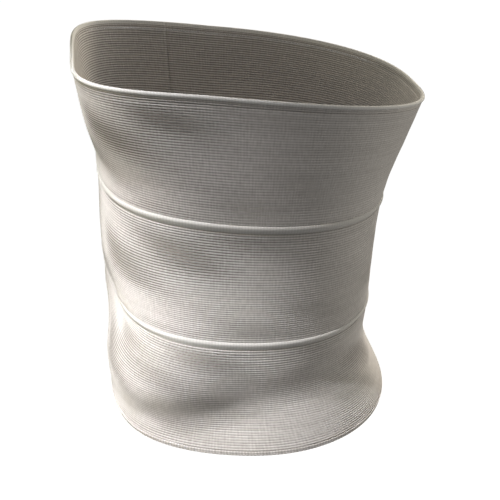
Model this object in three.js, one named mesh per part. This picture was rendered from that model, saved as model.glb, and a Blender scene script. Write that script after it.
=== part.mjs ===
import * as THREE from 'three';

// An elastic abdominal binder, worn: three ribbed bands one under another, a welt
// over each of the two joins, a rolled selvedge at the top, a plain one at the bottom
// and a plush hook-and-loop closure over the two ends at the wearer's right.
// Millimetres. The wearer faces -Y, the wearer's left is +X and up is +Z. The origin
// is the middle of the waist at the lower welt.

const WAIST_WIDTH = 236;
const WAIST_DEPTH = 172;
const BAND_HEIGHT = 76.2;
const CLOTH_THICKNESS = 2;
const WELT_WIDTH = 5;
const WELT_THICKNESS = 2.8;
const RIM_HEIGHT = 5.2;
const RIM_THICKNESS = 3;
const RIM_ROLL = 3;
const HEM_HEIGHT = 2.5;
const HEM_THICKNESS = 1.8;
const CLOSURE_WIDTH = 115;
const CLOSURE_THICKNESS = 2.2;
const CLOSURE_MARGIN = 6;
const END_GAP = 1;
const PIECE_GAP = 0.3;
const CLOSURE_GAP = 0.5;
const CLOSURE_TURN = THREE.MathUtils.degToRad(-72);

const HALF_WIDTH = WAIST_WIDTH / 2;
const HALF_DEPTH = WAIST_DEPTH / 2;
const BACK_SQUARENESS = 2.6;

// The body shape under the cloth, row by row down the binder. down counts bands from
// the top edge. level, tilt and side are shares of the band height: tilt raises the
// front and lowers the back, side raises the left and right. width is a share of the
// half waist width, front and back are shares of the half waist depth, and square is
// how boxy the front half is, with 2 an ellipse.
const SECTIONS = [
  { down: 0, level: 1.975, width: 1.09, front: 1.155, back: 1.48, tilt: 0.16, side: 0.04, square: 4.8 },
  { down: 0.45, level: 1.54, width: 1.06, front: 1.075, back: 1.34, tilt: 0.12, side: 0, square: 4.2 },
  { down: 0.8, level: 1.18, width: 1.03, front: 0.99, back: 1.22, tilt: 0.11, side: -0.04, square: 3.6 },
  { down: 1.1, level: 0.87, width: 1.01, front: 0.97, back: 1.15, tilt: 0.11, side: -0.05, square: 3.5 },
  { down: 1.55, level: 0.38, width: 1, front: 0.96, back: 1.1, tilt: 0.07, side: -0.04, square: 3.3 },
  { down: 2, level: 0.025, width: 1.01, front: 0.92, back: 1.07, tilt: 0.085, side: -0.09, square: 3 },
  { down: 2.2, level: -0.16, width: 1.01, front: 0.93, back: 1.05, tilt: 0.085, side: -0.1, square: 3 },
  { down: 2.5, level: -0.45, width: 1, front: 0.89, back: 1.01, tilt: 0.075, side: -0.07, square: 3.2 },
  { down: 3, level: -0.83, width: 0.99, front: 0.93, back: 0.93, tilt: -0.05, side: -0.11, square: 3.4 },
];

// Folds and swells of the cloth over that shape: the belly pushes it out above the hip
// crease, and the waist draws it in beside that. turn is the angle round the body from
// the front toward the wearer's left and spread how far it fades out, both in degrees.
// down and reach are the same in bands. depth is a share of the half waist depth,
// outward where positive.
const FOLDS = [
  { turn: 46, down: 2.35, spread: 37, reach: 0.42, depth: 0.16 },
  { turn: 30, down: 2.2, spread: 24, reach: 0.25, depth: -0.16 },
];

// The hip crease, where the cloth leaves the waist and spreads over the hips. It lies
// CREASE_DOWN bands down at the sides and CREASE_SWING lower at the front. Under it the
// cloth runs outward by a flare per band, a share of the half waist depth. The crease
// itself is pinched in, and fades out over so many bands above and below.
const CREASE_DOWN = 2.65;
const CREASE_SWING = 0.355;
const SIDE_FLARE = 0.6;
const BACK_FLARE = 0.32;
const FLARE_SOFTNESS = 0.11;
const CREASE_DEPTH = 0.024;
const CREASE_ABOVE = 0.2;
const CREASE_BELOW = 0.19;

const cloth = (name, colour, roughness) => {
  const material = new THREE.MeshStandardMaterial({ color: colour, roughness, metalness: 0 });
  material.name = name;
  return material;
};

// A smooth curve through one column of the section table.
function column(key, down) {
  const last = SECTIONS.length - 1;
  let row = 0;
  while (row < last - 1 && down > SECTIONS[row + 1].down) {
    row += 1;
  }
  const slope = (at) => {
    const before = SECTIONS[Math.max(at - 1, 0)];
    const after = SECTIONS[Math.min(at + 1, last)];
    return (after[key] - before[key]) / (after.down - before.down);
  };
  const from = SECTIONS[row];
  const to = SECTIONS[row + 1];
  const length = to.down - from.down;
  const s = (down - from.down) / length;
  return from[key] * (1 + 2 * s) * (1 - s) ** 2
    + to[key] * s * s * (3 - 2 * s)
    + slope(row) * length * s * (1 - s) ** 2
    - slope(row + 1) * length * s * s * (1 - s);
}

function foldDepth(turn, down) {
  let depth = 0;
  for (const fold of FOLDS) {
    const away = turn - THREE.MathUtils.degToRad(fold.turn);
    const round = Math.atan2(Math.sin(away), Math.cos(away));
    const across = round / THREE.MathUtils.degToRad(fold.spread);
    const along = (down - fold.down) / fold.reach;
    depth += fold.depth * HALF_DEPTH * Math.exp(-across * across - along * along);
  }
  return depth;
}

// How far the cloth stands out at the hip crease and under it.
function hipDepth(turn, down) {
  const below = down - CREASE_DOWN - CREASE_SWING * Math.cos(turn);
  const backward = (1 - Math.cos(turn)) / 2;
  const flare = SIDE_FLARE * Math.sin(turn) ** 2 + BACK_FLARE * backward ** 2;
  const spread = flare * FLARE_SOFTNESS * Math.log1p(Math.exp(below / FLARE_SOFTNESS));
  const fade = below / (below < 0 ? CREASE_ABOVE : CREASE_BELOW);
  return HALF_DEPTH * (spread - CREASE_DEPTH * Math.exp(-fade * fade));
}

// A point on the inner face of the cloth.
function innerPoint(turn, down) {
  const ahead = Math.cos(turn);
  const aside = Math.sin(turn);
  const square = ahead > 0 ? column('square', down) : BACK_SQUARENESS;
  const round = (Math.abs(ahead) ** square + Math.abs(aside) ** square) ** (-1 / square);
  const swell = foldDepth(turn, down) + hipDepth(turn, down);
  const halfWidth = column('width', down) * HALF_WIDTH + swell;
  const depth = column(ahead > 0 ? 'front' : 'back', down) * HALF_DEPTH + swell;
  const rise = column('level', down) + column('tilt', down) * ahead * round
    - column('side', down) * Math.cos(2 * turn);
  return new THREE.Vector3(halfWidth * aside * round, -depth * ahead * round, BAND_HEIGHT * rise);
}

// The same point moved outward through the cloth.
const NORMAL_STEP = 0.004;

function clothPoint(turn, down, out) {
  const step = NORMAL_STEP;
  const round = innerPoint(turn + step, down).sub(innerPoint(turn - step, down));
  const fall = innerPoint(turn, down + step).sub(innerPoint(turn, down - step));
  const outward = fall.cross(round).normalize();
  return innerPoint(turn, down).addScaledVector(outward, out);
}

// The angle that a distance along the cloth takes at the closure.
function turnOf(distance, down) {
  const step = NORMAL_STEP;
  const before = innerPoint(CLOSURE_TURN - step, down);
  const after = innerPoint(CLOSURE_TURN + step, down);
  return distance * 2 * step / before.distanceTo(after);
}

// A strip of cloth laid round the body. outer and inner hold the same number of points
// of its cut edge from the top down, each as millimetres down from the top edge of the
// binder and millimetres outward. start and end give the angle where it begins and
// ends at a height.
function strip(name, material, outer, inner, start, end, steps) {
  const edge = [...outer, ...inner.slice().reverse()];
  const count = edge.length;
  const positions = [];
  const faces = [];
  for (let station = 0; station <= steps; station += 1) {
    for (const [fall, out] of edge) {
      const down = fall / BAND_HEIGHT;
      const turn = start(down) + (end(down) - start(down)) * station / steps;
      positions.push(...clothPoint(turn, down, out).toArray());
    }
  }
  for (let station = 0; station < steps; station += 1) {
    for (let corner = 0; corner < count; corner += 1) {
      const next = (corner + 1) % count;
      const a = station * count + corner;
      const b = station * count + next;
      const c = a + count;
      const d = b + count;
      faces.push(a, b, c, b, d, c);
    }
  }
  const final = steps * count;
  for (let row = 0; row < outer.length - 1; row += 1) {
    const far = count - 1 - row;
    faces.push(row, far, row + 1, row + 1, far, far - 1);
    faces.push(final + row, final + row + 1, final + far);
    faces.push(final + row + 1, final + far - 1, final + far);
  }
  const geometry = new THREE.BufferGeometry();
  geometry.setAttribute('position', new THREE.Float32BufferAttribute(positions, 3));
  geometry.setIndex(faces);
  geometry.computeVertexNormals();
  const mesh = new THREE.Mesh(geometry, material);
  mesh.name = name;
  return mesh;
}

const ROUND_STEPS = 60;
const CLOSURE_STEPS = 16;
const CLOSURE_ROWS = 18;
const BAND_ROWS = 6;
const FOLDED_BAND_ROWS = 9;
const bandStart = (down) => CLOSURE_TURN + turnOf(END_GAP / 2, down);
const bandEnd = (down) => CLOSURE_TURN + 2 * Math.PI - turnOf(END_GAP / 2, down);
const closureStart = (down) => CLOSURE_TURN - turnOf(CLOSURE_WIDTH / 2, down);
const closureEnd = (down) => CLOSURE_TURN + turnOf(CLOSURE_WIDTH / 2, down);

function rowsBetween(top, bottom, count) {
  const rows = [];
  for (let row = 0; row <= count; row += 1) {
    rows.push(top + (bottom - top) * row / count);
  }
  return rows;
}

function ringStrip(name, material, outer, inner) {
  return strip(name, material, outer, inner, bandStart, bandEnd, ROUND_STEPS);
}

// Bands: flat ribbed elastic, each ending just short of the welt or edge beside it.
const UPPER_JOIN = BAND_HEIGHT;
const LOWER_JOIN = 2 * BAND_HEIGHT;
const BOTTOM = 3 * BAND_HEIGHT;
const HALF_WELT = WELT_WIDTH / 2;
const BAND_INSET = HALF_WELT + PIECE_GAP;

function band(name, top, bottom, count) {
  const rows = rowsBetween(top, bottom, count);
  const outer = rows.map((fall) => [fall, CLOTH_THICKNESS]);
  const inner = rows.map((fall) => [fall, 0]);
  return ringStrip(name, cloth('ribbed elastic', 0xe9e6de, 0.9), outer, inner);
}

const upperBand = band('upper_band', RIM_HEIGHT + PIECE_GAP, UPPER_JOIN - BAND_INSET, BAND_ROWS);
const middleBand = band('middle_band', UPPER_JOIN + BAND_INSET, LOWER_JOIN - BAND_INSET, BAND_ROWS);
const lowerBand = band(
  'lower_band',
  LOWER_JOIN + BAND_INSET,
  BOTTOM - HEM_HEIGHT - PIECE_GAP,
  FOLDED_BAND_ROWS,
);

// Welts: the smooth rounded cords of covering stitches over the joins. across is a
// share of half the width and rise a share of the thickness.
const WELT_OUTLINE = [
  { across: -1, rise: 0.3 },
  { across: -0.6, rise: 0.85 },
  { across: 0, rise: 1 },
  { across: 0.6, rise: 0.85 },
  { across: 1, rise: 0.3 },
];

function welt(name, middle) {
  const outer = WELT_OUTLINE.map(({ across, rise }) => [middle + HALF_WELT * across, WELT_THICKNESS * rise]);
  const inner = outer.map(([fall]) => [fall, 0]);
  return ringStrip(name, cloth('covering stitch', 0xf4f1ea, 0.75), outer, inner);
}

const upperWelt = welt('upper_welt', UPPER_JOIN);
const lowerWelt = welt('lower_welt', LOWER_JOIN);

// Top rim: a rolled selvedge with a thinner plain strip under it. fall is a share of
// the roll's height, low and rise are shares of its thickness.
const ROLL_OUTLINE = [
  { fall: 0, low: 0.3, rise: 0.6 },
  { fall: 0.3, low: 0, rise: 0.95 },
  { fall: 0.65, low: 0, rise: 1 },
];
const topRim = ringStrip(
  'top_rim',
  cloth('rolled selvedge', 0xf6f4ee, 0.75),
  [
    ...ROLL_OUTLINE.map(({ fall, rise }) => [RIM_ROLL * fall, RIM_THICKNESS * rise]),
    [RIM_ROLL, CLOTH_THICKNESS],
    [RIM_HEIGHT, CLOTH_THICKNESS],
  ],
  [
    ...ROLL_OUTLINE.map(({ fall, low }) => [RIM_ROLL * fall, RIM_THICKNESS * low]),
    [RIM_ROLL, 0],
    [RIM_HEIGHT, 0],
  ],
);

// Bottom hem: a narrow plain selvedge, a little thinner than the ribbing above it, with
// its lower corners rounded off.
const HEM_ROUNDING = HEM_THICKNESS * 0.2;
const bottomHem = ringStrip(
  'bottom_hem',
  cloth('plain selvedge', 0xe4e1d8, 0.85),
  [
    [BOTTOM - HEM_HEIGHT, HEM_THICKNESS],
    [BOTTOM - HEM_ROUNDING, HEM_THICKNESS],
    [BOTTOM, HEM_THICKNESS - HEM_ROUNDING],
  ],
  [
    [BOTTOM - HEM_HEIGHT, 0],
    [BOTTOM - HEM_ROUNDING, 0],
    [BOTTOM, HEM_ROUNDING],
  ],
);

// Closure: one plush panel over both ends of the bands, lying on the two welts.
const CLOSURE_INSIDE = WELT_THICKNESS + CLOSURE_GAP;
const closureRows = rowsBetween(
  RIM_HEIGHT + CLOSURE_MARGIN,
  BOTTOM - HEM_HEIGHT - CLOSURE_MARGIN,
  CLOSURE_ROWS,
);
const closurePanel = strip(
  'closure_panel',
  cloth('plush loop pile', 0xece9e1, 1),
  closureRows.map((fall) => [fall, CLOSURE_INSIDE + CLOSURE_THICKNESS]),
  closureRows.map((fall) => [fall, CLOSURE_INSIDE]),
  closureStart,
  closureEnd,
  CLOSURE_STEPS,
);

const binder = new THREE.Group();
binder.name = 'abdominal_binder';
binder.add(topRim, upperBand, upperWelt, middleBand, lowerWelt, lowerBand, bottomHem, closurePanel);

export default binder;
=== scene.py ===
import math

import bpy
import numpy as np
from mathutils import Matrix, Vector


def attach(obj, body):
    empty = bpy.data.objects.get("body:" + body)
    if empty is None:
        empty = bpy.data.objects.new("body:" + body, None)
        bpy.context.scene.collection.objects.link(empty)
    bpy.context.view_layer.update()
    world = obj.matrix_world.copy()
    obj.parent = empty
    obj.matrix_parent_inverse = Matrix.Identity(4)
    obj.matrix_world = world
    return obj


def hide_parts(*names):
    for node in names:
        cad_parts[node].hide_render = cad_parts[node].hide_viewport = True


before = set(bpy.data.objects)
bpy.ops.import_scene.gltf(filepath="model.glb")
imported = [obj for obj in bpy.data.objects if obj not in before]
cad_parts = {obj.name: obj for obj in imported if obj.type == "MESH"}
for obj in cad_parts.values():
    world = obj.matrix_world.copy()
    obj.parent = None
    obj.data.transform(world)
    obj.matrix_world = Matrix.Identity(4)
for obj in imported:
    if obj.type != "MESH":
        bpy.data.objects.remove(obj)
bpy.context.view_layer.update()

scene = bpy.context.scene


# Camera. It looks at the wearer's left side from a little ahead of square, about a
# metre away and from above the top edge, through a long lens.
camera_distance = 1.1
camera_height = 0.359
camera_turn = math.radians(-5)
camera_aim = Vector((0, 0.017, 0.020))
camera_lens = 121
camera_data = bpy.data.cameras.new("camera")
camera_data.lens = camera_lens
camera_data.clip_start = 0.05
camera = bpy.data.objects.new("camera", camera_data)
scene.collection.objects.link(camera)
camera.location = (
    camera_distance * math.cos(camera_turn),
    camera_distance * math.sin(camera_turn),
    camera_height,
)
camera.rotation_euler = (camera_aim - camera.location).to_track_quat("-Z", "Y").to_euler()
scene.camera = camera


# Studio. A white floor well below the hollow, and soft lamps: two lights from ahead on the
# left that fall off towards the rim, two narrow ones on the waist and the back of the
# hip, one behind the wearer's right shoulder, and weak fills from ahead and from behind.
floor_depth = 1.0
floor_reach = 60
floor_colour = (0.9, 0.9, 0.9, 1)
floor_mesh = bpy.data.meshes.new("floor")
floor_mesh.from_pydata(
    [
        (-floor_reach, -floor_reach, -floor_depth),
        (floor_reach, -floor_reach, -floor_depth),
        (floor_reach, floor_reach, -floor_depth),
        (-floor_reach, floor_reach, -floor_depth),
    ],
    [],
    [(0, 1, 2, 3)],
)
floor = bpy.data.objects.new("floor", floor_mesh)
scene.collection.objects.link(floor)
floor_paint = bpy.data.materials.new("floor paint")
floor_paint.use_nodes = True
floor_surface = floor_paint.node_tree.nodes["Principled BSDF"]
floor_surface.inputs["Base Color"].default_value = floor_colour
floor_surface.inputs["Roughness"].default_value = 0.9
floor_surface.inputs["Emission Color"].default_value = floor_colour
floor_surface.inputs["Emission Strength"].default_value = 1.0
floor_mesh.materials.append(floor_paint)
floor.visible_diffuse = False
floor.visible_glossy = False

lamp_distance = 1.8
spot_columns = ("name", "side", "height", "aim", "cone", "softness", "power", "colour")
spots = (
    ("main light", -56, 60, (0.08, -0.05, -0.06), 7, 0.12, 390, (0.95, 0.95, 1.0)),
    ("second light", -56, 45, (0.08, -0.05, -0.05), 8, 0.15, 80, (1.0, 0.87, 0.62)),
    ("waist light", -50, 15, (0.094, -0.038, 0.015), 5, 0.03, 50, (0.98, 1.0, 0.99)),
    ("hip light", 75, 15, (0.03, 0.1, -0.045), 4, 0.03, 30, (1.0, 0.96, 0.93)),
)
disk_columns = ("name", "side", "height", "power", "colour")
disks = (
    ("front fill", -90, 10, 6.2, (1.0, 0.95, 0.65)),
    ("rim lamp", 155, 40, 17, (1.0, 0.9, 0.72)),
    ("rear fill", 95, 10, 8.4, (1.0, 0.95, 0.82)),
)
disk_size = 0.8
disk_aim = Vector((0, 0, 0.04))


def hung_lamp(data, side, height, aim):
    """Hangs a lamp round the binder: side is its turn from the wearer's left and height
    its angle above level, both in degrees."""
    lamp = bpy.data.objects.new(data.name, data)
    scene.collection.objects.link(lamp)
    turn = math.radians(side)
    rise = math.radians(height)
    level = math.cos(rise)
    ray = Vector((math.cos(turn) * level, math.sin(turn) * level, math.sin(rise)))
    lamp.location = aim + lamp_distance * ray
    lamp.rotation_euler = ray.to_track_quat("Z", "Y").to_euler()


for row in spots:
    spot = dict(zip(spot_columns, row))
    data = bpy.data.lights.new(spot["name"], "SPOT")
    data.spot_size = math.radians(spot["cone"])
    data.spot_blend = 1.0
    data.shadow_soft_size = spot["softness"]
    data.energy = spot["power"]
    data.color = spot["colour"]
    hung_lamp(data, spot["side"], spot["height"], Vector(spot["aim"]))
for row in disks:
    disk = dict(zip(disk_columns, row))
    data = bpy.data.lights.new(disk["name"], "AREA")
    data.shape = "DISK"
    data.size = disk_size
    data.energy = disk["power"]
    data.color = disk["colour"]
    hung_lamp(data, disk["side"], disk["height"], disk_aim)
world = bpy.data.worlds.new("studio")
world.use_nodes = True
nodes = world.node_tree.nodes
link = world.node_tree.links.new
nodes["Background"].inputs["Color"].default_value = (1.0, 0.985, 0.96, 1)
nodes["Background"].inputs["Strength"].default_value = 0.155
backdrop = nodes.new("ShaderNodeBackground")
backdrop.inputs["Color"].default_value = (1, 1, 1, 1)
seen = nodes.new("ShaderNodeLightPath")
choice = nodes.new("ShaderNodeMixShader")
link(seen.outputs["Is Camera Ray"], choice.inputs["Fac"])
link(nodes["Background"].outputs["Background"], choice.inputs[1])
link(backdrop.outputs["Background"], choice.inputs[2])
link(choice.outputs["Shader"], nodes["World Output"].inputs["Surface"])
scene.world = world
scene.view_settings.view_transform = "Standard"


# Upper band. One of three strips of white elastic knitted into about 45 ribs, its long
# edges sewn to the rim and to the welt. The body shape that all the strips take comes
# first, row by row down the binder, as shares of the waist and of the band.
half_waist_width = 0.118
half_waist_depth = 0.086
band_height = 0.0762
cloth_thickness = 0.002
seam_gap = 0.0001
end_gap = 0.0001
closure_turn = math.radians(-72)
back_squareness = 2.6
section_columns = ("down", "level", "width", "front", "back", "tilt", "side", "square")
sections = (
    (0.0, 1.975, 1.09, 1.155, 1.48, 0.16, 0.04, 4.8),
    (0.45, 1.54, 1.06, 1.075, 1.34, 0.12, 0.0, 4.2),
    (0.8, 1.18, 1.03, 0.99, 1.22, 0.11, -0.04, 3.6),
    (1.1, 0.87, 1.01, 0.97, 1.15, 0.11, -0.05, 3.5),
    (1.55, 0.38, 1.0, 0.96, 1.1, 0.07, -0.04, 3.3),
    (2.0, 0.025, 1.01, 0.92, 1.07, 0.085, -0.09, 3.0),
    (2.2, -0.16, 1.01, 0.93, 1.05, 0.085, -0.1, 3.0),
    (2.5, -0.45, 1.0, 0.89, 1.01, 0.075, -0.07, 3.2),
    (3.0, -0.83, 0.99, 0.93, 0.93, -0.05, -0.11, 3.4),
)
fold_columns = ("turn", "down", "spread", "reach", "depth")
folds = (
    (46, 2.35, 37, 0.42, 0.16),
    (30, 2.2, 24, 0.25, -0.16),
)
crease_down = 2.65
crease_swing = 0.355
side_flare = 0.6
back_flare = 0.32
flare_softness = 0.11
crease_depth = 0.024
crease_above = 0.2
crease_below = 0.19
slope_step = 0.004
girth_steps = 720
walk_detail = 20


def section_value(key, down):
    rows = np.array([row[0] for row in sections])
    values = np.array([row[section_columns.index(key)] for row in sections])
    slopes = np.empty(len(rows))
    slopes[1:-1] = (values[2:] - values[:-2]) / (rows[2:] - rows[:-2])
    slopes[0] = (values[1] - values[0]) / (rows[1] - rows[0])
    slopes[-1] = (values[-1] - values[-2]) / (rows[-1] - rows[-2])
    row = np.clip(np.searchsorted(rows, down, side="right") - 1, 0, len(rows) - 2)
    length = rows[row + 1] - rows[row]
    s = (down - rows[row]) / length
    return (
        values[row] * (1 + 2 * s) * (1 - s) ** 2
        + values[row + 1] * s * s * (3 - 2 * s)
        + slopes[row] * length * s * (1 - s) ** 2
        - slopes[row + 1] * length * s * s * (1 - s)
    )


def fold_depth(turn, down):
    depth = 0
    for row in folds:
        fold = dict(zip(fold_columns, row))
        away = turn - math.radians(fold["turn"])
        round_body = np.arctan2(np.sin(away), np.cos(away))
        across = round_body / math.radians(fold["spread"])
        along = (down - fold["down"]) / fold["reach"]
        depth = depth + fold["depth"] * half_waist_depth * np.exp(-across**2 - along**2)
    return depth


def hip_depth(turn, down):
    """How far the cloth stands out at the hip crease, where it is pinched in, and under
    it, where it spreads over the hips."""
    below = down - crease_down - crease_swing * np.cos(turn)
    backward = (1 - np.cos(turn)) / 2
    flare = side_flare * np.sin(turn) ** 2 + back_flare * backward**2
    spread = flare * flare_softness * np.log1p(np.exp(below / flare_softness))
    fade = below / np.where(below < 0, crease_above, crease_below)
    return half_waist_depth * (spread - crease_depth * np.exp(-fade * fade))


def inner_point(turn, down):
    ahead = np.cos(turn)
    aside = np.sin(turn)
    square = np.where(ahead > 0, section_value("square", down), back_squareness)
    reach = (np.abs(ahead) ** square + np.abs(aside) ** square) ** (-1 / square)
    swell = fold_depth(turn, down) + hip_depth(turn, down)
    width = section_value("width", down) * half_waist_width + swell
    front = section_value("front", down) * half_waist_depth + swell
    back = section_value("back", down) * half_waist_depth + swell
    rise = (
        section_value("level", down)
        + section_value("tilt", down) * ahead * reach
        - section_value("side", down) * np.cos(2 * turn)
    )
    depth = np.where(ahead > 0, front, back)
    return np.stack([width * aside * reach, -depth * ahead * reach, band_height * rise], -1)


def cloth_point(turn, down, out):
    round_body = inner_point(turn + slope_step, down) - inner_point(turn - slope_step, down)
    fall = inner_point(turn, down + slope_step) - inner_point(turn, down - slope_step)
    outward = np.cross(fall, round_body)
    outward /= np.linalg.norm(outward, axis=-1, keepdims=True)
    return inner_point(turn, down) + outward * out[..., None]


def turn_of(distance, down):
    """How far a distance round the body turns there, at the closure's middle."""
    before = inner_point(closure_turn - slope_step, down)
    after = inner_point(closure_turn + slope_step, down)
    return distance * 2 * slope_step / np.linalg.norm(after - before, axis=-1)


def girth(down):
    turns = np.linspace(0, 2 * math.pi, girth_steps + 1)
    ring = inner_point(turns, np.full(girth_steps + 1, down))
    return float(np.linalg.norm(np.diff(ring, axis=0), axis=1).sum())


def strip(name, outer, inner, columns, centre, reach, wander=None):
    """A closed strip of cloth round the body. outer and inner are its cut edge's faces
    from the top down, as metres down the binder and metres outward. reach is the turn
    on each side of centre as a function of down, and wander moves the faces a little."""
    edge = np.array(list(outer) + list(inner)[::-1])
    fall = np.repeat(edge[None, :, 0], columns + 1, 0)
    out = np.repeat(edge[None, :, 1], columns + 1, 0)
    middle = float(edge[:, 0].mean()) / band_height
    half = reach(np.array([middle]))[0]
    fine = np.linspace(-half, half, walk_detail * columns + 1) + centre
    ring = inner_point(fine, np.full(fine.shape, middle))
    walked = np.concatenate([[0], np.cumsum(np.linalg.norm(np.diff(ring, axis=0), axis=1))])
    even = np.linspace(0, walked[-1], columns + 1)
    share = np.interp(even, walked, np.linspace(-1, 1, len(fine)))
    count = edge.shape[0]
    distance = np.repeat(even[:, None], count, 1)
    if wander is not None:
        fall, out = wander(distance, fall, out)
    down = fall / band_height
    turn = centre + share[:, None] * reach(down)
    points = cloth_point(turn, down, out).reshape(-1, 3)
    start = np.arange(columns)[:, None] * count
    corner = np.arange(count)[None, :]
    after = (corner + 1) % count
    ahead = start + count
    quads = np.stack([start + corner, start + after, ahead + after, ahead + corner], -1)
    faces = quads.reshape(-1, 4)[:, ::-1].tolist()
    first = list(range(count))
    last = [columns * count + corner for corner in range(count)]
    mesh = bpy.data.meshes.new(name)
    mesh.from_pydata(points.tolist(), [], faces + [first, last[::-1]])
    weave = mesh.uv_layers.new(name="weave")
    flat = np.stack([distance.ravel(), fall.ravel()], -1)
    corners = np.empty(len(mesh.loops), np.int32)
    mesh.loops.foreach_get("vertex_index", corners)
    weave.data.foreach_set("uv", flat[corners].astype(np.float32).ravel())
    mesh.polygons.foreach_set("use_smooth", np.ones(len(mesh.polygons), bool))
    mesh.update()
    piece = bpy.data.objects.new(name, mesh)
    scene.collection.objects.link(piece)
    return piece


def whole_girth(down):
    return math.pi - turn_of(end_gap / 2, down)


rib_pitch = 0.00156
rib_depth = 0.0009
drawn_from = 0.26
drawn_to = 0.4
slack_from = 0.54
slack_to = 0.68
waver_reach = 0.006
waver_step = 0.00022
waver_thinning = 0.00008
sway_waves = ((31, 90, 0, 1), (83, -210, 1.3, 0.6))
thin_waves = ((47, 160, 0.7, 1), (-19, 240, 0, 1))
rib_profile = ((0.0, 0.0), (0.22, 0.6), (0.5, 1.0), (0.78, 0.6))
edge_dip = 0.0002
edge_dip_reach = 0.0012
inner_rows = 40
band_columns = 400


def ribbed_face(top, bottom):
    ribs = round((bottom - top) / rib_pitch)
    pitch = (bottom - top) / ribs
    rows = []
    for rib in range(ribs):
        for across, height in rib_profile:
            rows.append((top + (rib + across) * pitch, height))
    rows.append((bottom, 0.0))
    face = []
    for fall, height in rows:
        near = min(fall - top, bottom - fall) / edge_dip_reach
        dip = edge_dip * math.exp(-near * near)
        face.append((fall, cloth_thickness - dip - rib_depth * (1 - height)))
    return face


def plain_face(top, bottom, rows):
    return [(float(fall), 0.0) for fall in np.linspace(top, bottom, rows + 1)]


def wave(distance, fall, row):
    """One slow wave over the flat cloth. A row holds its radians per metre round the
    body and down it, its phase and its size."""
    along, down, phase, size = row
    return size * np.sin(distance * along + fall * down + phase)


def stretch_waver(distance, fall, out, open_front, open_side):
    """The ribs of stretched elastic run a little unevenly: each wanders by less than a
    quarter of its width, except at the seams, and they lie flatter where the cloth is
    drawn tight over the side and the back."""
    near_seam = np.minimum(fall - fall.min(), fall.max() - fall)
    free = np.clip(near_seam / waver_reach, 0, 1)
    sway = wave(distance, fall, sway_waves[0]) + wave(distance, fall, sway_waves[1])
    thin = wave(distance, fall, thin_waves[0]) * wave(distance, fall, thin_waves[1])
    drawn = np.clip((distance - drawn_from) / (drawn_to - drawn_from), 0, 1)
    slack = np.clip((slack_to - distance) / (slack_to - slack_from), 0, 1)
    tight = drawn * drawn * (3 - 2 * drawn) * slack * slack * (3 - 2 * slack)
    opened = open_front + (open_side - open_front) * tight
    ribbed = cloth_thickness - (cloth_thickness - out) * opened + waver_thinning * thin
    return fall + waver_step * sway * free, np.where(out > 0, ribbed, out)


groove_sharpness = 6.0
stitch_sharpness = 3.0


def joined(nodes, link, operation, *values):
    """One math node, fed by the given numbers and outputs."""
    node = nodes.new("ShaderNodeMath")
    node.operation = operation
    for socket, value in zip(node.inputs, values):
        if isinstance(value, (int, float)):
            socket.default_value = value
        else:
            link(value, socket)
    return node.outputs[0]


def knit_group():
    """Ribbed knit, from its flat coordinates in metres: where the grooves between the ribs lie
    and how open they are, where one stitch meets the next along a rib, and how each rib
    differs. The groove and stitch masks place painted shade in the grooves and between the
    stitches."""
    group = bpy.data.node_groups.new("ribbed knit", "ShaderNodeTree")
    for name, value in (
        ("Rib Pitch", rib_pitch),
        ("First Groove", 0.0),
        ("Stitch Length", 0.0019),
        ("Open In Front", 1.0),
        ("Open At Side", 0.3),
    ):
        socket = group.interface.new_socket(name, in_out="INPUT", socket_type="NodeSocketFloat")
        socket.default_value = value
    group.interface.new_socket("Flat", in_out="INPUT", socket_type="NodeSocketVector")
    for name in ("Groove", "Stitch", "Rib Tone"):
        group.interface.new_socket(name, in_out="OUTPUT", socket_type="NodeSocketFloat")
    nodes = group.nodes
    link = group.links.new
    given = nodes.new("NodeGroupInput")
    put_out = nodes.new("NodeGroupOutput")
    split = nodes.new("ShaderNodeSeparateXYZ")
    link(given.outputs["Flat"], split.inputs[0])
    below = joined(nodes, link, "SUBTRACT", split.outputs["Y"], given.outputs["First Groove"])
    ribs = joined(nodes, link, "DIVIDE", below, given.outputs["Rib Pitch"])
    swing = joined(nodes, link, "COSINE", joined(nodes, link, "MULTIPLY", ribs, math.pi))
    groove = joined(
        nodes, link, "POWER", joined(nodes, link, "ABSOLUTE", swing), groove_sharpness
    )
    tight = 1.0
    for start, end in ((drawn_from, drawn_to), (slack_to, slack_from)):
        drawn = nodes.new("ShaderNodeMapRange")
        drawn.interpolation_type = "SMOOTHSTEP"
        drawn.inputs["From Min"].default_value = start
        drawn.inputs["From Max"].default_value = end
        link(split.outputs["X"], drawn.inputs["Value"])
        tight = joined(nodes, link, "MULTIPLY", drawn.outputs["Result"], tight)
    opened = nodes.new("ShaderNodeMapRange")
    link(tight, opened.inputs["Value"])
    link(given.outputs["Open In Front"], opened.inputs["To Min"])
    link(given.outputs["Open At Side"], opened.inputs["To Max"])
    groove = joined(nodes, link, "MULTIPLY", groove, opened.outputs["Result"])
    along = joined(nodes, link, "DIVIDE", split.outputs["X"], given.outputs["Stitch Length"])
    turn_in = joined(nodes, link, "COSINE", joined(nodes, link, "MULTIPLY", along, math.pi))
    stitch = joined(
        nodes, link, "POWER", joined(nodes, link, "ABSOLUTE", turn_in), stitch_sharpness
    )
    each = nodes.new("ShaderNodeTexWhiteNoise")
    each.noise_dimensions = "1D"
    link(joined(nodes, link, "FLOOR", ribs), each.inputs["W"])
    link(groove, put_out.inputs["Groove"])
    link(stitch, put_out.inputs["Stitch"])
    link(each.outputs["Value"], put_out.inputs["Rib Tone"])
    return group


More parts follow.
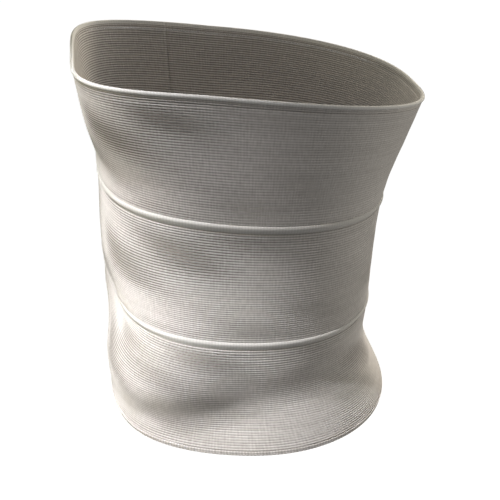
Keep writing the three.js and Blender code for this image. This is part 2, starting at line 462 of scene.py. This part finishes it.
def yarn_group():
    """The unevenness of spun yarn: a fine fuzz of fibres, short ticks where tighter yarn
    crosses a few ribs, and a slow change of tone."""
    group = bpy.data.node_groups.new("uneven yarn", "ShaderNodeTree")
    for name, value in (("Fibre Scale", 2600.0), ("Tick Scale", 760.0), ("Patch Scale", 60.0)):
        socket = group.interface.new_socket(name, in_out="INPUT", socket_type="NodeSocketFloat")
        socket.default_value = value
    group.interface.new_socket("Flat", in_out="INPUT", socket_type="NodeSocketVector")
    for name in ("Fibres", "Ticks", "Patches"):
        group.interface.new_socket(name, in_out="OUTPUT", socket_type="NodeSocketFloat")
    nodes = group.nodes
    link = group.links.new
    given = nodes.new("NodeGroupInput")
    put_out = nodes.new("NodeGroupOutput")
    for scale, detail, drawn_out, output in (
        ("Fibre Scale", 3.0, 1.0, "Fibres"),
        ("Tick Scale", 0.0, 0.28, "Ticks"),
        ("Patch Scale", 5.0, 1.0, "Patches"),
    ):
        lie = nodes.new("ShaderNodeVectorMath")
        lie.operation = "MULTIPLY"
        lie.inputs[1].default_value = (1, drawn_out, 1)
        noise = nodes.new("ShaderNodeTexNoise")
        noise.inputs["Detail"].default_value = detail
        link(given.outputs["Flat"], lie.inputs[0])
        link(given.outputs[scale], noise.inputs["Scale"])
        link(lie.outputs["Vector"], noise.inputs["Vector"])
        link(noise.outputs["Fac"], put_out.inputs[output])
    return group


ribbed_knit = knit_group()
uneven_yarn = yarn_group()


def cloth_material(
    name,
    light,
    shade,
    weights,
    bump,
    roughness,
    first_groove=0.0,
    pitch=rib_pitch,
    opened=(1.0, 1.0),
):
    """A matt white cloth of covered yarn. light is the colour on the crest of a yarn and shade
    a darker colour: painted shade deep in the grooves between two yarns and where the stitches
    meet, and the yarn's own darker tone in the single ribs, the fibres, the ticks and the slow
    patches. weights say how much of the shade the grooves, the ends of the stitches, the single
    ribs, the fibres, the ticks and the slow patches take, and opened how open the grooves lie
    in front and at the side, which also sets how strong the painted groove shade is."""
    material = bpy.data.materials.new(name)
    material.use_nodes = True
    nodes = material.node_tree.nodes
    link = material.node_tree.links.new
    surface = nodes["Principled BSDF"]
    surface.inputs["Roughness"].default_value = roughness
    surface.inputs["Sheen Weight"].default_value = 0.15
    surface.inputs["Sheen Roughness"].default_value = 0.6
    surface.inputs["Specular IOR Level"].default_value = 0.2
    flat = nodes.new("ShaderNodeUVMap")
    flat.uv_map = "weave"
    knit_values = {
        "Rib Pitch": pitch,
        "First Groove": first_groove,
        "Open In Front": opened[0],
        "Open At Side": opened[1],
    }
    hollow = None
    for group, values, shares in (
        (ribbed_knit, knit_values, weights[:3]),
        (uneven_yarn, {}, weights[3:]),
    ):
        if not any(shares):
            continue
        effect = nodes.new("ShaderNodeGroup")
        effect.node_tree = group
        link(flat.outputs["UV"], effect.inputs["Flat"])
        for socket, value in values.items():
            effect.inputs[socket].default_value = value
        for part, weight in zip(effect.outputs, shares):
            if weight == 0:
                continue
            share = joined(nodes, link, "MULTIPLY", part, weight)
            hollow = share if hollow is None else joined(nodes, link, "ADD", hollow, share)
    paint = nodes.new("ShaderNodeMix")
    paint.data_type = "RGBA"
    paint.clamp_factor = True
    paint.inputs["A"].default_value = (*light, 1)
    paint.inputs["B"].default_value = (*shade, 1)
    link(hollow, paint.inputs["Factor"])
    link(paint.outputs["Result"], surface.inputs["Base Color"])
    relief = nodes.new("ShaderNodeBump")
    relief.inputs["Distance"].default_value = bump
    relief.invert = True
    link(hollow, relief.inputs["Height"])
    link(relief.outputs["Normal"], surface.inputs["Normal"])
    return material


upper_join = band_height
lower_join = 2 * band_height
bottom_edge = 3 * band_height
rim_height = 0.0052
hem_height = 0.0025
half_welt = 0.0025
band_inset = half_welt + seam_gap
# elastic_shade is painted shade in the grooves and at the stitch ends, and the darker tone of
# single ribs, fibres, ticks and patches; the grooves take most of it.
elastic_light = (0.893, 0.862, 0.842)
elastic_shade = (0.235, 0.21, 0.19)
elastic_weights = (0.85, 0.06, 0.08, 0.08, 0.26, 0.08)
elastic_bump = 0.00022
elastic_roughness = 0.85
back_turn = closure_turn + math.pi


def elastic_band(name, node, top, bottom, opened):
    pitch = (bottom - top) / round((bottom - top) / rib_pitch)
    piece = strip(
        name,
        ribbed_face(top, bottom),
        plain_face(top, bottom, inner_rows),
        band_columns,
        back_turn,
        whole_girth,
        lambda distance, fall, out: stretch_waver(distance, fall, out, *opened),
    )
    # The grooves between the ribs are darkened with painted shade, most where the ribs stand
    # open in front.
    piece.data.materials.append(
        cloth_material(
            name + " yarn",
            elastic_light,
            elastic_shade,
            elastic_weights,
            elastic_bump,
            elastic_roughness,
            top,
            pitch,
            opened,
        )
    )
    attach(piece, "root")
    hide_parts(node)
    return piece


upper_opened = (1.0, 0.25)
upper_top = rim_height + seam_gap
upper_band = elastic_band(
    "upper_elastic", "upper_band", upper_top, upper_join - band_inset, upper_opened
)


# Middle band. The same strip of ribbed elastic as the upper one, between the two
# welts, drawn in over the waist.
middle_opened = (1.05, 0.4)
middle_top = upper_join + band_inset
middle_band = elastic_band(
    "middle_elastic", "middle_band", middle_top, lower_join - band_inset, middle_opened
)


# Lower band. The same strip again, from the lower welt to the hem. It is pushed into
# soft folds between the waist and the flare of the hips.
lower_opened = (0.85, 0.75)
lower_top = lower_join + band_inset
lower_bottom = bottom_edge - hem_height - seam_gap
lower_band = elastic_band(
    "lower_elastic", "lower_band", lower_top, lower_bottom, lower_opened
)


# Welts. A smooth rounded cord of covering stitches lies over each join of two bands and stands
# a little proud of them. It is the same white yarn, laid closely, painted a little darker than
# the elastic as painted shade that dims the highlight on the cord.
welt_thickness = 0.0028
welt_outline = (
    (-1.0, 0.7),
    (-0.88, 0.84),
    (-0.7, 0.94),
    (-0.45, 1.0),
    (-0.2, 1.0),
    (0.05, 0.94),
    (0.3, 0.82),
    (0.5, 0.7),
    (0.7, 0.57),
    (0.88, 0.47),
    (1.0, 0.42),
)
welt_columns = 700
# A darker white than the elastic's: painted shade over the whole cord.
cord_shaded_white = (0.82, 0.805, 0.78)
cord_shade = (0.45, 0.43, 0.40)
cord_weights = (0, 0.14, 0, 0.16, 0.1, 0.12)
cord_bump = 0.00012
cord_roughness = 0.75


def welt_face(middle):
    """across is a share of half the width, rise of the thickness. The cord is fullest
    in its upper half."""
    return [
        (middle + half_welt * across, welt_thickness * rise) for across, rise in welt_outline
    ]


def welt(name, node, middle):
    inner = [(fall, 0.0) for fall, out in welt_face(middle)]
    piece = strip(name, welt_face(middle), inner, welt_columns, back_turn, whole_girth)
    piece.data.materials.append(
        cloth_material(
            name + " yarn", cord_shaded_white, cord_shade, cord_weights, cord_bump, cord_roughness
        )
    )
    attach(piece, "root")
    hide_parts(node)
    return piece


upper_welt = welt("upper_welt_cord", "upper_welt", upper_join)
lower_welt = welt("lower_welt_cord", "lower_welt", lower_join)


# Top rim. The band's own edge, turned over and stitched into a thin smooth roll, with the first
# two ribs of the elastic right under it. The roll is painted a lighter white than the elastic,
# a painted highlight along its top.
rim_roll = 0.0026
rim_steps = 12
rim_ribs = 2
roll_radius = rim_roll / 2
rim_pitch = (rim_height - rim_roll) / rim_ribs
# A lighter white than the elastic's: painted highlight on the roll.
rim_lit_white = (0.95, 0.94, 0.92)
rim_weights = (0, 0.1, 0, 0.12, 0.05, 0.08)
rim_bump = 0.0001
rim_outer = []
rim_inner = []
for step in range(rim_steps):
    turn = math.pi * step / rim_steps
    fall = roll_radius * (1 - math.cos(turn))
    bulge = roll_radius * math.sin(turn)
    rim_outer.append((fall, roll_radius + bulge))
    rim_inner.append((fall, roll_radius - bulge if step < rim_steps / 2 else 0.0))
for rib in range(rim_ribs):
    for across, height in rib_profile:
        fall = rim_roll + (rib + across) * rim_pitch
        rim_outer.append((fall, cloth_thickness - rib_depth * (1 - height)))
        rim_inner.append((fall, 0.0))
rim_outer.append((rim_height, cloth_thickness - rib_depth))
rim_inner.append((rim_height, 0.0))
top_rim = strip("top_rim_roll", rim_outer, rim_inner, welt_columns, back_turn, whole_girth)
top_rim.data.materials.append(
    cloth_material("rim yarn", rim_lit_white, cord_shade, rim_weights, rim_bump, cord_roughness)
)
top_rim.data.materials.append(
    cloth_material(
        "rim rib yarn",
        elastic_light,
        elastic_shade,
        elastic_weights,
        elastic_bump,
        elastic_roughness,
        rim_roll,
        rim_pitch,
        upper_opened,
    )
)
rim_falls = [fall for fall, out in rim_outer + rim_inner[::-1]]
for face in top_rim.data.polygons:
    row = face.index % len(rim_falls)
    highest = min(rim_falls[row], rim_falls[row - len(rim_falls) + 1])
    face.material_index = int(highest >= rim_roll)
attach(top_rim, "root")
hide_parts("top_rim")


# Bottom hem. A narrow plain selvedge woven along the edge of the lower band, a little
# thinner than the ribs, with small scallops where each stitch turns back.
hem_thickness = 0.0018
hem_rounding = 0.0004
hem_shoulder = 0.2
hem_weights = (0, 0.2, 0, 0.16, 0.3, 0.12)
hem_bump = 0.0002
scallop_pitch = 0.0024
scallop_depth = 0.00018
hem_columns = 1400


def scallops(distance, fall, out):
    lowest = np.clip((fall - (bottom_edge - hem_height)) / hem_height, 0, 1) ** 3
    wave = np.abs(np.sin(math.pi * distance / scallop_pitch))
    return fall - scallop_depth * lowest * (1 - wave), out


hem_top = bottom_edge - hem_height
hem_outer = [
    (hem_top, cloth_thickness - rib_depth),
    (hem_top + hem_shoulder * rib_pitch, hem_thickness),
    (hem_top + 0.5 * rib_pitch, cloth_thickness),
    (hem_top + (1 - hem_shoulder) * rib_pitch, hem_thickness),
    (hem_top + rib_pitch, cloth_thickness - rib_depth),
    (bottom_edge - hem_rounding, cloth_thickness - rib_depth),
    (bottom_edge, hem_rounding * 2),
]
hem_inner = [(fall, 0.0) for fall, out in hem_outer[:-1]] + [(bottom_edge, hem_rounding)]
bottom_hem = strip(
    "bottom_hem_selvedge",
    hem_outer,
    hem_inner,
    hem_columns,
    back_turn,
    whole_girth,
    scallops,
)
bottom_hem.data.materials.append(
    cloth_material(
        "hem yarn", elastic_light, elastic_shade, hem_weights, hem_bump, elastic_roughness
    )
)
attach(bottom_hem, "root")
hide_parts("bottom_hem")


# Closure. A plain panel of brushed loop pile at the wearer's right, over both ends of
# the bands, which its hooks hold from behind. Its edges are rounded and it is sewn down
# to its backing by one line of stitches all round.
closure_width = 0.115
closure_thickness = 0.0022
closure_gap = 0.0005
closure_margin = 0.006
closure_rows = 190
closure_inner_rows = 24
closure_columns = 210
closure_inside = welt_thickness + closure_gap
closure_top = rim_height + closure_margin
closure_bottom = bottom_edge - hem_height - closure_margin
seam_inset = 0.0055
seam_width = 0.0011
seam_depth = 0.001
seam_stitch = 0.0034
edge_rounding = 0.35
pull_mean = 0.55
pull_swing = 0.45
loops_per_metre = 620
loop_shade = 0.3
plush_weights = (0, 0, 0, 0.3, 0, 0.15)
plush_bump = 0.0009
plush_roughness = 1.0


def closure_reach(down):
    return turn_of(closure_width / 2, down)


def sewn_all_round(distance, fall, out):
    length = distance.max()
    from_side = np.minimum(distance, length - distance)
    from_end = np.minimum(fall - closure_top, closure_bottom - fall)
    near = np.minimum(from_side, from_end)
    turned = np.clip(1 - near / closure_thickness, 0, 1) ** 2
    rounding = edge_rounding * closure_thickness * turned
    along = np.where(from_side < from_end, fall, distance)
    pull = pull_mean + pull_swing * np.cos(2 * math.pi * along / seam_stitch)
    seam = seam_depth * pull * np.exp(-(((near - seam_inset) / seam_width) ** 2))
    outer_face = out > closure_inside + closure_thickness / 2
    return fall, np.where(outer_face, out - rounding - seam, out + rounding)


closure_outer = [
    (float(fall), closure_inside + closure_thickness)
    for fall in np.linspace(closure_top, closure_bottom, closure_rows + 1)
]
closure_inner = [
    (float(fall), closure_inside)
    for fall in np.linspace(closure_top, closure_bottom, closure_inner_rows + 1)
]
closure = strip(
    "closure_plush",
    closure_outer,
    closure_inner,
    closure_columns,
    closure_turn,
    closure_reach,
    sewn_all_round,
)
plush = cloth_material(
    "closure plush", elastic_light, cord_shade, plush_weights, plush_bump, plush_roughness
)
plush_nodes = plush.node_tree.nodes
plush_link = plush.node_tree.links.new
loops = plush_nodes.new("ShaderNodeTexVoronoi")
loops.inputs["Scale"].default_value = loops_per_metre
plush_link(plush_nodes["UV Map"].outputs["UV"], loops.inputs["Vector"])
loop_tone = joined(plush_nodes, plush_link, "MULTIPLY", loops.outputs["Distance"], loop_shade)
for mixed, socket in ((plush_nodes["Mix"], "Factor"), (plush_nodes["Bump"], "Height")):
    yarn_tone = mixed.inputs[socket].links[0].from_socket
    both = joined(plush_nodes, plush_link, "ADD", yarn_tone, loop_tone)
    plush_link(both, mixed.inputs[socket])
closure.data.materials.append(plush)
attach(closure, "root")
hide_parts("closure_panel")


# Cut sizes. Each band was cut from 3 in elastic to the girth at its middle, and the closure
# from flat plush. The loop below works out the girth at each band's middle and keeps nothing of
# it.
for piece, middle, trims in (
    (upper_band, 0.5, [top_rim, upper_welt]),
    (middle_band, 1.5, [lower_welt]),
    (lower_band, 2.5, [bottom_hem]),
):
    girth(middle)
